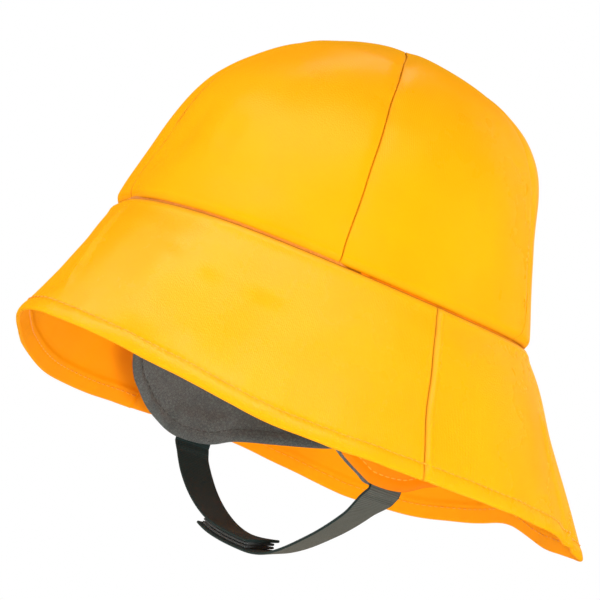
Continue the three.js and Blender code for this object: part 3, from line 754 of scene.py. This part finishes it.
# Ear flaps: a shaped tongue of coated cloth over each ear, lined with dark fleece. Cloth and lining
# are sewn together a little inside the edge, and the chin strap's end is caught between them.
FLAP_CLOTH = 0.001
LINING_CLOTH = 0.0012
LINING_EDGE_THINNER = 0.0006
FLAP_DROP = 0.075
FLAP_LEAN = 0.005
FLAP_TUCK = 0.002
FLAP_ROW = 0.005
FLAP_PUFF, FLAP_GROOVE, FLAP_FLUFF = 0.00035, 0.0003, 0.00025
FLAP_SHORT = 0.0004
FLAP_CUT_BACK = [0.7, -0.12]
OUTLINE_TOP, OUTLINE_SIDE_STEPS, OUTLINE_EDGE_STEPS = 0.01, 40, 400
STRAP_ANGLE = 96.7
STRAP_WIDTH = 0.016
STRAP_THICKNESS = 0.0012
STRAP_INSERT = 0.007
POCKET_MARGIN = 0.002
POCKET_SLOPE = 0.006
FLAP_EDGE = table(
    "angle drop",
    (66.5, 0.6), (67.4, 0.7), (70, 0.785), (73.6, 0.843), (78.5, 0.912), (84.9, 0.968),
    (90.3, 1), (101.5, 0.98), (109.7, 0.913), (123, 0.847), (137, 0.78), (150, 0.69),
)
flap_start, flap_end = FLAP_EDGE[0]["angle"], FLAP_EDGE[-1]["angle"]


def flap_place(angle, height):
    """Outer face of an ear flap: tucked against the crown, then leaning in towards the cheek."""
    taper = CROWN_TAPER * HALF_LENGTH / CROWN_HEIGHT * np.maximum(height - seam_height(angle), 0)
    lean = FLAP_LEAN * np.maximum(-height, 0) / FLAP_DROP
    swell_share = bump(np.maximum(height, 0) / CROWN_HEIGHT, OVAL_SWELL_WAY)
    return oval_place(angle, 1, height, swell_share) - outward(angle) * (CLOTH + GAP + taper + lean)[:, None]


flap_angles, flap_walked = arc_round(flap_place, -0.04)
strap_middle = flap_place(np.array([STRAP_ANGLE]), np.array([-FLAP_DROP]))[0]


def flap_bottom(angle):
    return -FLAP_DROP * read_table(FLAP_EDGE, "angle", "drop", angle)


edge_line = np.linspace(flap_start, flap_end, OUTLINE_EDGE_STEPS)
front_side, back_side = (np.full(OUTLINE_SIDE_STEPS, a) for a in (flap_start, flap_end))
outline_angles = np.concatenate([front_side, edge_line, back_side])
outline_heights = np.concatenate([
    np.linspace(OUTLINE_TOP, flap_bottom(flap_start), OUTLINE_SIDE_STEPS),
    flap_bottom(edge_line),
    np.linspace(flap_bottom(flap_end), OUTLINE_TOP, OUTLINE_SIDE_STEPS),
])
flap_outline = beside(np.interp(outline_angles, flap_angles, flap_walked), outline_heights)


def from_outline(places):
    """How far each place on the flat flap is from its cut edge."""
    return np.min(np.linalg.norm(places[:, None, :] - flap_outline[None, :, :], axis=2), axis=1)


def pocket(place, above_edge):
    """How open the pocket for the strap's end is at a place on the flap."""
    aside = np.abs(place[:, 1] - strap_middle[1]) - STRAP_WIDTH / 2 - POCKET_MARGIN
    up = above_edge - STRAP_INSERT - POCKET_MARGIN
    return (1 - smooth(aside, 0, POCKET_SLOPE)) * (1 - smooth(up, 0, POCKET_SLOPE))


def flap_surface(angle, height, is_lining, is_back):
    """A place on either face of the flap's cloth or lining, on the left side of the hat."""
    place = flap_place(angle, height)
    edge = from_outline(beside(np.interp(angle, flap_angles, flap_walked), height))
    opened = pocket(place, height - flap_bottom(angle))
    puff = FLAP_PUFF * np.sin(np.pi * np.clip(edge / FLAP_ROW, 0, 1)) * (1 - opened)
    groove = FLAP_GROOVE * bump(edge - FLAP_ROW, 0.0009)
    fluff = ripples(place, 0.02, 21.0) * FLAP_FLUFF * smooth(edge, 0, 0.006)
    if is_lining:
        deep = FLAP_CLOTH + GAP + (STRAP_THICKNESS + GAP) * opened
        if is_back:
            deep = deep + LINING_CLOTH - LINING_EDGE_THINNER * (1 - smooth(edge, 0, 0.003))
            deep = deep - rolled(edge, 0.0003) - groove + puff - fluff
        else:
            deep = deep + rolled(edge, 0.0002)
    elif is_back:
        deep = FLAP_CLOTH - rolled(edge, 0.0004)
    else:
        deep = rolled(edge, 0.0006) + groove - puff * 0.6 + fluff
    return place - outward(angle) * deep[:, None], edge


def flap_shape(side, is_lining):
    """The shape of one layer of a flap, whose cloth is cut a little shorter than its lining."""

    def shape(across, along):
        angle = np.interp(across, [0, 0.12, 0.9, 1], [flap_start, flap_start + 4, flap_end - 6, flap_end])
        is_back = along > 0.5
        down = 1 - np.abs(1 - 2 * along)
        down = down + 0.5 * np.sin(2 * np.pi * down) / (2 * np.pi)
        top = seam_height(angle) + FLAP_TUCK
        bottom = flap_bottom(angle)
        if not is_lining:
            angle = angle + np.interp(angle, [flap_start, flap_end], FLAP_CUT_BACK)
            bottom = bottom + FLAP_SHORT
        height = top + (bottom - top) * down
        front, edge = flap_surface(angle, height, is_lining, False)
        back, _ = flap_surface(angle, height, is_lining, True)
        place = np.where(is_back[:, None], back, front)
        place[:, 0] *= side
        pattern = beside(np.interp(angle, flap_angles, flap_walked), height, 0 * height)
        # Painted shade along the flap's rolled edge and in the groove of its stitch row.
        near = 0.8 * np.exp(-edge / 0.0008) + 0.4 * np.exp(-np.abs(edge - FLAP_ROW) / 0.0005)
        return place, pattern, near

    return shape


def flap_stitches(side, is_lining):
    """Where the row of stitches round a flap's lower edge lies, on the cloth or on the lining."""
    steps = np.gradient(flap_outline, axis=0)
    inward = beside(-steps[:, 1], steps[:, 0])
    row = flap_outline + inward / lengths(inward)[:, None] * FLAP_ROW
    kept = row[(row[:, 1] < -0.004) & (from_outline(row) > 0.97 * FLAP_ROW)]
    walked = walked_along(kept)
    middles = np.arange(0.5, walked[-1] / STITCH_PITCH - 0.5) * STITCH_PITCH

    def on_row(at):
        across, height = (np.interp(at, walked, kept[:, k]) for k in range(2))
        angle = np.interp(across, flap_walked, flap_angles)
        place, _ = flap_surface(angle, height, is_lining, is_lining)
        out = outward(angle) * (-1 if is_lining else 1)
        return (place + out * 0.0001) * [side, 1, 1], out * [side, 1, 1]

    places, outs = on_row(middles)
    return places, on_row(middles + 0.001)[0] - on_row(middles - 0.001)[0], outs


def fleece(name, light_tone, dark_tone):
    """Brushed fleece: a dull pile of short fibres in small clumps, with pale fibre tips."""
    material, tree, shader = new_material(name)
    place = object_place(tree)
    worn = wear_outputs(tree, place, 1500.0, 90.0)
    fibres = add_node(tree, "ShaderNodeTexNoise", Vector=place, Scale=4200.0, Detail=4.0, Roughness=0.75)
    clumps = add_node(tree, "ShaderNodeTexVoronoi", Vector=place, Scale=950.0)
    tips = spread_value(tree, fibres.outputs["Fac"], 0.38, 0.62, 0, 0.6)
    pile = sum_of(tree, tips, spread_value(tree, clumps.outputs["Distance"], 0.1, 0.6, 0.4, 0))
    shade = product_of(tree, pile, spread_value(tree, worn["Blotch"], 0.3, 0.7, 0.75, 1.15))
    colour = blend_colours(tree, shade, dark_tone, light_tone)
    rough = spread_value(tree, worn["Grain"], 0.3, 0.7, 0.86, 0.98)
    normal = relief_normal(tree, pile, 0.9, 0.00035)
    set_inputs(tree, shader, Base_Color=colour, Roughness=rough, Normal=normal)
    set_inputs(tree, shader, Specular_IOR_Level=0.2, Sheen_Weight=0.25, Sheen_Roughness=0.6)
    return material


# The flaps are the brim's cloth with painted shade: darker and more orange for the brim's shadow over them.
flap_cloth_shaded = coated_cloth(
    "coated_cloth_flap_shaded", (0.82, 0.230, 0.001, 1), (0.80, 0.212, 0.001, 1), (0.60, 0.14, 0.001, 1),
    0.34, 0.15, 0.00012,
)
grey_fleece = fleece("grey_fleece", (0.168, 0.196, 0.182, 1), (0.030, 0.038, 0.035, 1))
grey_thread = sewing_thread("grey_thread", (0.075, 0.078, 0.072, 1), (0.035, 0.036, 0.033, 1))
for side_name, side in (("left", 1), ("right", -1)):
    for part, is_lining, finish, thread, slot in (
        ("", False, flap_cloth_shaded, yellow_thread, "coated_cloth"),
        ("_lining", True, grey_fleece, grey_thread, "fleece_lining"),
    ):
        node = f"ear_flap{part}_{side_name}"
        shape = closed_cloth(130, 200, flap_shape(side, is_lining))
        flap_piece = place_piece(node + "_cloth", shape, finish, slot, node)
        row = add_stitches(node + "_stitches", *flap_stitches(side, is_lining), thread, slot)

# Inside trims: a soft binding sewn round the throat of the hat over the raw edges of crown, brim and
# flaps, thin tapes welded over the other seams to keep the rain out, and a round patch of the same
# tape at the top of the crown, over the place where the seams meet.
BINDING_WIDTH, BINDING_THICKNESS = 0.010, 0.0008
BINDING_RISE = 0.0038
TAPE_WIDTH, TAPE_THICKNESS = 0.010, 0.0003
TAPE_FOOT, TAPE_TOP, TAPE_LENGTH = 0.067, 0.93, 0.12
CROWN_TAPE_BEHIND, BRIM_TAPE_BEHIND, TOP_PATCH_BEHIND = 0.0005, 0.00035, 0.0015
TOP_PATCH_FOOT, TOP_PATCH_RADIUS = 0.915, 0.014
flap_stack = CLOTH + GAP + FLAP_CLOTH + GAP + LINING_CLOTH


def section(share, wide, thick, side_power=0.25, face_power=0.4):
    """Round a flat band's section: how far across it and how far out of its middle."""
    across, out = np.cos(2 * np.pi * share), np.sin(2 * np.pi * share)
    across = wide / 2 * np.sign(across) * np.abs(across) ** side_power
    return across, thick / 2 * np.sign(out) * np.abs(out) ** face_power


def binding_shape(along, share):
    angle = 360 * along
    aside = np.abs(turn_between(angle, 0))
    up, thick = section(share, BINDING_WIDTH, BINDING_THICKNESS)
    over_flap = smooth(aside, flap_start - 5, flap_start - 0.5) * (1 - smooth(aside, flap_end + 0.5, flap_end + 5))
    rise = BINDING_RISE + up
    step = over_flap * (1 - smooth(rise, FLAP_TUCK + 0.0002, FLAP_TUCK + 0.0035))
    deep = CLOTH + 0.0001 + (flap_stack - CLOTH + 0.0003) * step + BINDING_THICKNESS / 2 + thick
    taper = CROWN_TAPER * HALF_LENGTH / CROWN_HEIGHT * np.maximum(rise, 0)
    deep = deep + (taper + 0.00012) * (1 - step)
    place = oval_place(angle, 1, seam_height(angle) + rise, 1.0) - outward(angle) * deep[:, None]
    walked = np.interp(angle, edge_angles, edge_walked)
    unevenness = 0.00015 * ripples(beside(walked / 0.004, up / 0.004, 0 * up), 1.0, 50.0)
    return place + outward(angle) * unevenness[:, None], beside(walked, up, thick), 0 * angle


def crown_tape_shape(gore, before):
    """The shape of the tape behind the seam between a gore and the one before it."""

    def shape(share, along):
        across, thick = section(share, TAPE_WIDTH, TAPE_THICKNESS)
        way = TAPE_FOOT + (TAPE_TOP - TAPE_FOOT) * along
        line = gore["seam"] + gore["foot"] * np.exp(-way / SEAM_FOOT_WAY)
        per_degree = degree_width(crown_place, line, way)
        angle = line + across / per_degree
        normal = face_normal(crown_place, angle, way, 1)
        span = np.where(across > 0, gore["end"] - gore["seam"], (before["end"] - before["seam"]) % 360)
        valley = gore_valley(np.clip(np.abs(across) / (span * per_degree), 0, 0.5), way)
        place = crown_place(angle, way)
        relief = crown_relief(place) - seam_groove(across, way)
        deep = CLOTH_SEEN + CROWN_TAPE_BEHIND + TAPE_THICKNESS / 2 + valley - relief + thick
        return place - normal * deep[:, None], beside(across, along * TAPE_LENGTH, thick), 0 * across

    return shape


def brim_tape_shape(seam):
    """The shape of the tape behind one of the brim's two side seams."""

    def shape(share, along):
        across, thick = section(share, TAPE_WIDTH, TAPE_THICKNESS)
        middle = np.full_like(across, float(seam))
        slant = brim_slant(middle)
        from_edge = HEM_TOP + 0.001 + (slant - HEM_TOP - 0.008) * along
        way = 1 - from_edge / slant
        bow = -SIDE_BOW * np.sin(np.pi * way) * (1 if seam < 180 else -1)
        angle = middle + (across + bow) / degree_width(brim_place, middle, way)
        deep = CLOTH_SEEN + BRIM_TAPE_BEHIND + TAPE_THICKNESS / 2 + thick
        place, _ = brim_surface(angle, from_edge, deep, np.full_like(across, FAR_FROM_SIDE), 0)
        return place, beside(across, from_edge, thick), 0 * across

    return shape


def top_patch_shape(round_top, along):
    """A round patch over the place where all the seams meet, below the ends of their tapes."""
    from_middle = 1 - np.abs(1 - 2 * along)
    way = 1 - (1 - TOP_PATCH_FOOT) * from_middle
    place = crown_place(360 * round_top, way)
    relief = crown_relief(place) * smooth(1 - way, 0, 0.03)
    place[:, 2] -= CLOTH_SEEN + TOP_PATCH_BEHIND - relief + TAPE_THICKNESS * (along > 0.5)
    return place, beside(round_top * 0.072, from_middle * TOP_PATCH_RADIUS, 0 * way), 0 * way


seam_tape = coated_cloth(
    "seam_tape", (0.98, 0.420, 0.010, 1), (0.97, 0.395, 0.008, 1), (0.90, 0.30, 0.002, 1), 0.42, 0.20, 0.00006
)
binding_cloth = fleece("binding_cloth", (0.95, 0.345, 0.004, 1), (0.82, 0.250, 0.002, 1))
binding = place_piece("crown_seam_binding", closed_cloth(420, 24, binding_shape), binding_cloth, "coated_cloth")
for before, gore in zip(CROWN_GORES[-1:] + CROWN_GORES, CROWN_GORES):
    tape = closed_cloth(24, 120, crown_tape_shape(gore, before))
    tape = place_piece(gore["name"].replace("panel", "seam_tape"), tape, seam_tape, "coated_cloth")
    flat = (gore["wide"], gore["tall"])
place_piece("crown_top_patch", closed_cloth(60, 32, top_patch_shape), seam_tape, "coated_cloth")
for panel, side_name in zip(BRIM_PANELS, ("left", "right")):
    tape = closed_cloth(24, 60, brim_tape_shape(panel["end"]))
    tape = place_piece(f"brim_seam_tape_{side_name}", tape, seam_tape, "coated_cloth")

# Chin strap: two lengths of dark ribbed webbing, each sewn into a flap. The left one runs under the
# chin outside the right one, and the two are held together by a hook-and-loop fastening.
STRAP_EXIT = 0.001
LEFT_TILT, RIGHT_TILT = 21, 5
LOOP_DEPTH = 0.0316
LEFT_ROUNDNESS, RIGHT_ROUNDNESS = 2.05, 2.75
LOOP_BLEND = 0.020
LOOP_STEPS = 401
LEFT_PAST_MIDDLE = 0.032
RIGHT_PAST_MIDDLE = 0.004
PATCH_THICKNESS = 0.001
RIB_PITCH, RIB_HEIGHT = 0.0009, 0.00005
TACK_PITCH, TACK_DEPTH = 0.0011, 0.00014
YARN_PITCH = 0.0006
WAVE_SCALE = 0.314

# A face of the strap is on its outside where its four corners lie deeper than this in all.
OUTSIDE_DEPTHS = -0.0020
flap_inside = FLAP_CLOTH + GAP + STRAP_THICKNESS / 2
loop_top = -FLAP_DROP - STRAP_EXIT
stack_step = STRAP_THICKNESS + 2 * PATCH_THICKNESS + 3 * GAP


def flap_reach(angle, height):
    return flap_place(np.asarray(angle, float), np.asarray(height, float))[:, 0]


half_span = flap_reach([STRAP_ANGLE], [loop_top])[0] - flap_inside
loop_side = 1 - 2 * np.linspace(0, 1, LOOP_STEPS)
loop_roundness = np.where(loop_side > 0, LEFT_ROUNDNESS, RIGHT_ROUNDNESS)
loop_fall = LOOP_DEPTH * (1 - np.abs(loop_side) ** loop_roundness)
loop_line = beside(half_span * loop_side, np.full(LOOP_STEPS, strap_middle[1]), loop_top - loop_fall)
loop_walked = walked_along(loop_line)
loop_length = loop_walked[-1]
left_end = loop_length / 2 + LEFT_PAST_MIDDLE
right_end = loop_length / 2 - RIGHT_PAST_MIDDLE


def strap_place(walked):
    """The strap's middle line at a distance from the left flap; past the loop it runs up inside it."""
    place = beside(*(np.interp(walked, loop_walked, loop_line[:, k]) for k in range(3)))
    past = np.maximum(-walked, walked - loop_length)
    inside = past > 0
    if inside.any():
        height = loop_top + past[inside]
        reach = flap_reach(np.full(inside.sum(), STRAP_ANGLE), height) - flap_inside
        place[inside, 0] = np.where(walked[inside] < 0, 1, -1) * reach
        place[inside, 2] = height
    return place


def strap_frame(walked):
    """Directions across the strap and towards the inside of the loop, tipped under the chin, and how
    far the strap still follows the flap's curve."""
    along = strap_place(walked + 0.002) - strap_place(walked - 0.002)
    inward = beside(along[:, 2], 0 * walked, -along[:, 0])
    inward /= lengths(inward)[:, None]
    below = np.minimum(walked, loop_length - walked)
    rightward = smooth(walked - loop_length / 2, -LOOP_BLEND, LOOP_BLEND)
    tilt = np.radians(LEFT_TILT + (RIGHT_TILT - LEFT_TILT) * rightward) * inward[:, 2] * smooth(below, 0, STRAP_WIDTH)
    backward = np.array([[0.0, 1.0, 0.0]])
    back = backward * np.cos(tilt)[:, None] + inward * np.sin(tilt)[:, None]
    facing = inward * np.cos(tilt)[:, None] - backward * np.sin(tilt)[:, None]
    return back, facing, 1 - smooth(below, 0, POCKET_SLOPE)


def strap_surface(walked, across, lift):
    place = strap_place(walked)
    back, facing, follow = strap_frame(walked)
    angle = STRAP_ANGLE + np.degrees(across / HALF_LENGTH)
    height = np.maximum(place[:, 2], loop_top)
    sag = flap_reach(np.full_like(angle, STRAP_ANGLE), height) - flap_reach(angle, height)
    return place + back * across[:, None] + facing * (lift + sag * follow)[:, None], facing


def lift_left(walked):
    return -stack_step / 2 * smooth(walked, right_end / 2, right_end)


def lift_right(walked):
    return stack_step / 2 * (1 - smooth(walked, left_end, loop_length))


def strap_shape(start, end, width, thickness, lift, rib):
    """A flat woven band: cross ribs on both faces, a firm rounded selvedge along each side, and
    dents from the tacking stitches close below the flap."""

    def shape(round_band, along):
        walked = start + (end - start) * along
        across, thick = section(round_band, width, thickness, 0.22, 0.35)
        flatness = np.abs(across) / (width / 2)
        ribs = rib * np.cos(2 * np.pi * walked / RIB_PITCH) * np.sign(thick)
        below = np.minimum(walked, loop_length - walked)
        tacks = TACK_DEPTH * np.cos(2 * np.pi * walked / TACK_PITCH)
        ribs += tacks * (1 - smooth(below, 0.004, 0.007)) * (below > 0)
        ribs = ribs * (flatness < 0.93)
        centre, facing = strap_surface(walked, across, lift(walked))
        place = centre + facing * (thick + ribs)[:, None]
        return place, beside(across, walked, thick), smooth(flatness, 0.86, 1.0)

    return shape


def woven_webbing(name, light_tone, dark_tone):
    """Polyester webbing: fine cross ribs with lengthways yarns over them, and a dull shine."""
    material, tree, shader = new_material(name)
    pattern = attribute(tree, "pattern", "Vector")
    worn = wear_outputs(tree, pattern, 2600.0, 120.0)
    ribs, yarns = (
        add_node(tree, "ShaderNodeTexWave", Vector=pattern, Scale=WAVE_SCALE / pitch, Distortion=distortion)
        for pitch, distortion in ((RIB_PITCH, 0.4), (YARN_PITCH, 0.6))
    )
    ribs.bands_direction = "Y"
    weave = sum_of(tree, product_of(tree, ribs.outputs["Fac"], 0.6), product_of(tree, yarns.outputs["Fac"], 0.4))
    shade = product_of(tree, weave, spread_value(tree, worn["Grain"], 0.3, 0.7, 0.6, 1.3))
    colour = blend_colours(tree, shade, dark_tone, light_tone)
    rough = spread_value(tree, worn["Grain"], 0.3, 0.7, 0.62, 0.82)
    normal = relief_normal(tree, weave, 0.7, 0.00018)
    set_inputs(tree, shader, Base_Color=colour, Roughness=rough, Normal=normal)
    set_inputs(tree, shader, Specular_IOR_Level=0.06, Sheen_Weight=0.05)
    return material


webbing_outside = woven_webbing("grey_webbing_outside", (0.116, 0.122, 0.106, 1), (0.043, 0.045, 0.040, 1))
# The same webbing painted darker and bluer as shade for faces inside the loop, against the yellow bounce.
webbing_painted_shade = woven_webbing("grey_webbing_shaded", (0.024, 0.042, 0.041, 1), (0.0095, 0.0175, 0.0175, 1))
for name, start, end, lift in (
    ("chin_strap_left", -STRAP_INSERT, left_end, lift_left),
    ("chin_strap_right", right_end, loop_length + STRAP_INSERT, lift_right),
):
    rows = int((end - start) / (RIB_PITCH / 4))
    shape = closed_cloth(28, rows, strap_shape(start, end, STRAP_WIDTH, STRAP_THICKNESS, lift, RIB_HEIGHT))
    strap_piece = place_piece(name + "_webbing", shape, webbing_outside, "webbing", name)
    strap_piece.data.materials.append(webbing_painted_shade)
    depths = np.zeros(len(strap_piece.data.vertices) * 3)
    strap_piece.data.attributes["pattern"].data.foreach_get("vector", depths)
    # Faces on the inside of the loop get the painted-shade copy of the webbing.
    for face in strap_piece.data.polygons:
        if sum(depths[3 * k + 2] for k in face.vertices) > OUTSIDE_DEPTHS:
            face.material_index = 1

# Hook-and-loop fastening: two short black patches sewn to the facing sides of the strap's ends.
# The outer one carries stiff hooks and the inner one a mat of soft loops.
PATCH_LENGTH = 0.032
PATCH_MARGIN = 0.001
PILE_HEIGHT = 0.00008
patch_lift = (PATCH_THICKNESS + GAP) / 2
patch_start = (left_end + right_end - PATCH_LENGTH) / 2
patch_width = STRAP_WIDTH - 2 * PATCH_MARGIN


def patch_shape(lift):
    patch_end = patch_start + PATCH_LENGTH
    return strap_shape(patch_start, patch_end, patch_width, PATCH_THICKNESS, lambda walked: lift, PILE_HEIGHT)


dark_patch = fleece("hook_and_loop_pile", (0.030, 0.038, 0.037, 1), (0.009, 0.012, 0.012, 1))
for name, strap, side_name, flat, lift in (
    ("hook_patch", "chin_strap_left", "left", (STRAP_WIDTH, 0.1147), -patch_lift),
    ("loop_patch", "chin_strap_right", "right", (STRAP_WIDTH, 0.0867), patch_lift),
):
    shape = closed_cloth(28, 120, patch_shape(lift))
    patch = place_piece(name + "_pile", shape, dark_patch, "hook_and_loop", name)
